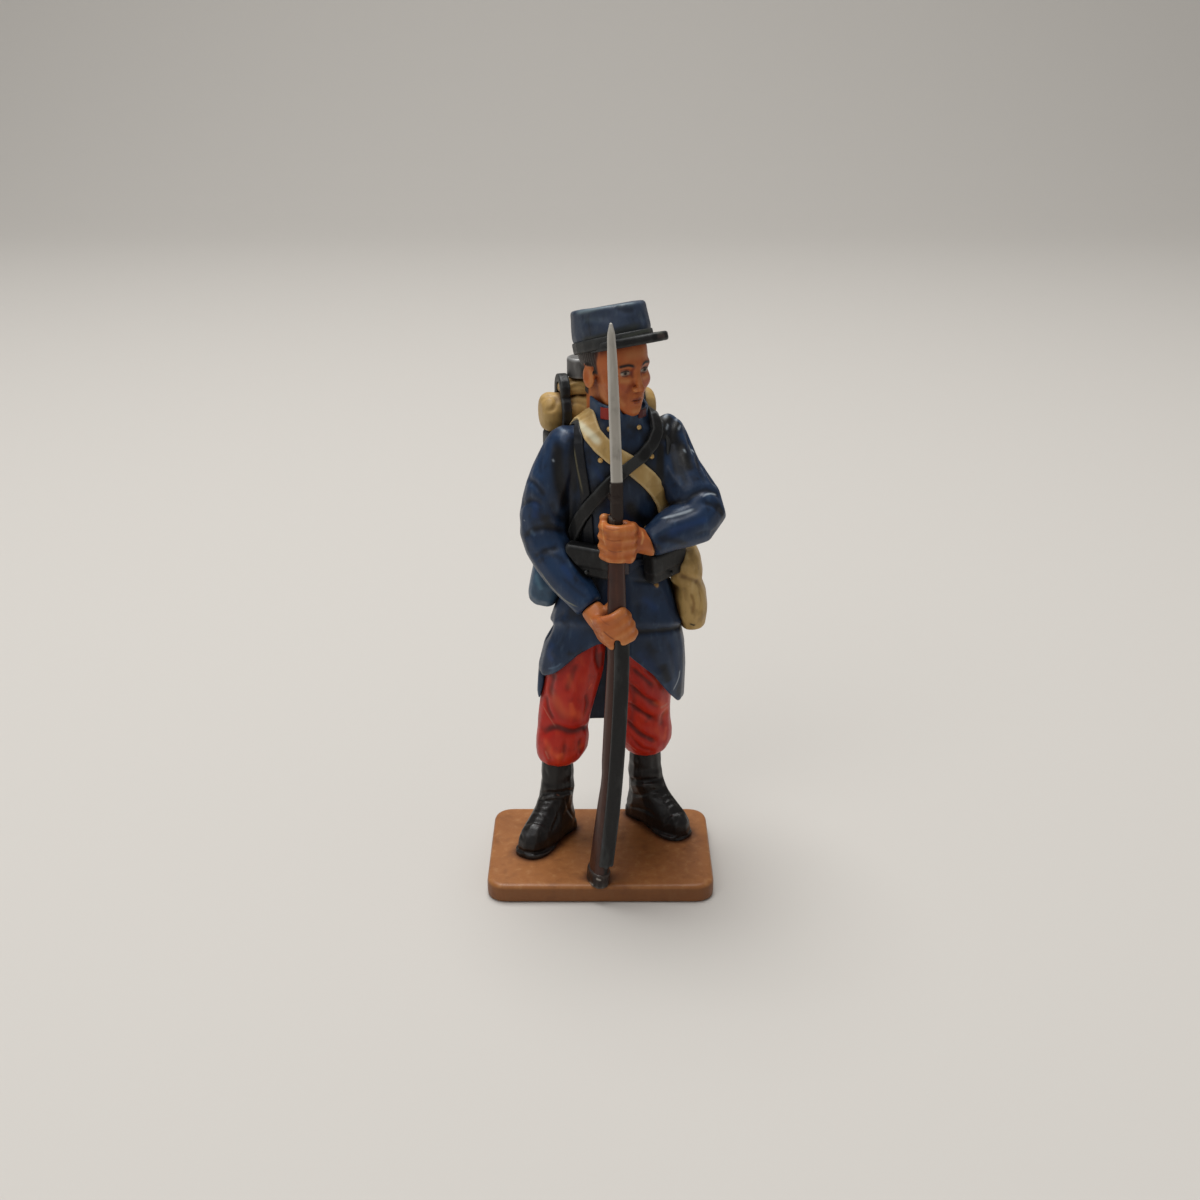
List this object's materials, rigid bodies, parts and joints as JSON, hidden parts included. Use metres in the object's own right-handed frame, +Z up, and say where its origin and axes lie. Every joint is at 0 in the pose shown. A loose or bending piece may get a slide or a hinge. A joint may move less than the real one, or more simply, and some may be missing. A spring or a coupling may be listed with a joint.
{
  "type": "toy soldier figure",
  "caption": "Painted cast toy soldier standing guard in greatcoat and kepi, both hands on a rifle with fixed bayonet, full pack behind, on a flat base.",
  "frame": {"origin": "centre of the base plate's underside, where the figure rests on a shelf", "axes": "+Z up through the standing figure, -Y towards the side the base and the rifle face, +X towards the figure's left hand"},
  "size_m": [0.0251, 0.0205, 0.0627],
  "materials": {
    "base_paint": "flat tan-brown paint on the cast base",
    "boot_leather": "black-brown painted boots, a little glossy",
    "trouser_cloth": "red trousers with dark red shading in the folds",
    "coat_cloth": "dark blue greatcoat, near-black creases and pale dry-brushed edges",
    "patch_cloth": "red collar patches",
    "skin": "orange-tan flesh paint",
    "kepi_cloth": "grey-blue kepi cloth",
    "kit_leather": "black painted leather with worn grey edges",
    "kit_canvas": "cream canvas with ochre washes",
    "canteen_cloth": "grey-blue cloth cover of the canteen",
    "tin_grey": "grey painted mess tin",
    "stock_wood": "dark reddish brown stock",
    "gun_metal": "dark painted barrel, fittings and butt plate, worn to bare metal at the edges",
    "bright_metal": "pale steel paint of the bayonet's blade",
    "brass": "brass-coloured dots of the buttons and the buckle"
  },
  "bodies": {
    "root": {"base_plate": "base_paint", "right_boot": "boot_leather", "left_boot": "boot_leather", "right_trouser_leg": "trouser_cloth", "left_trouser_leg": "trouser_cloth", "coat_skirt": "coat_cloth", "coat_body": "coat_cloth", "coat_collar": "coat_cloth", "collar_patches": "patch_cloth", "coat_buttons": "brass", "right_sleeve": "coat_cloth", "left_sleeve": "coat_cloth", "right_hand": "skin", "left_hand": "skin", "head": "skin", "kepi_crown": "kepi_cloth", "kepi_band": "kit_leather", "kepi_peak": "kit_leather", "waist_belt": "kit_leather", "belt_buckle": "brass", "right_cartridge_pouch": "kit_leather", "left_cartridge_pouch": "kit_leather", "haversack": "kit_canvas", "haversack_strap": "kit_canvas", "canteen": "canteen_cloth", "canteen_strap": "kit_leather", "knapsack": "kit_leather", "pack_straps": "kit_leather", "blanket_roll": "kit_canvas", "tent_bundle": "kit_canvas", "mess_tin": "tin_grey", "roll_straps": "kit_leather", "rifle_stock": "stock_wood", "rifle_barrel": "gun_metal", "rifle_bands": "gun_metal", "rifle_bolt": "gun_metal", "trigger_guard": "gun_metal", "butt_plate": "gun_metal", "rifle_sling": "kit_leather", "bayonet": "bright_metal"}
  },
  "joints": []
}
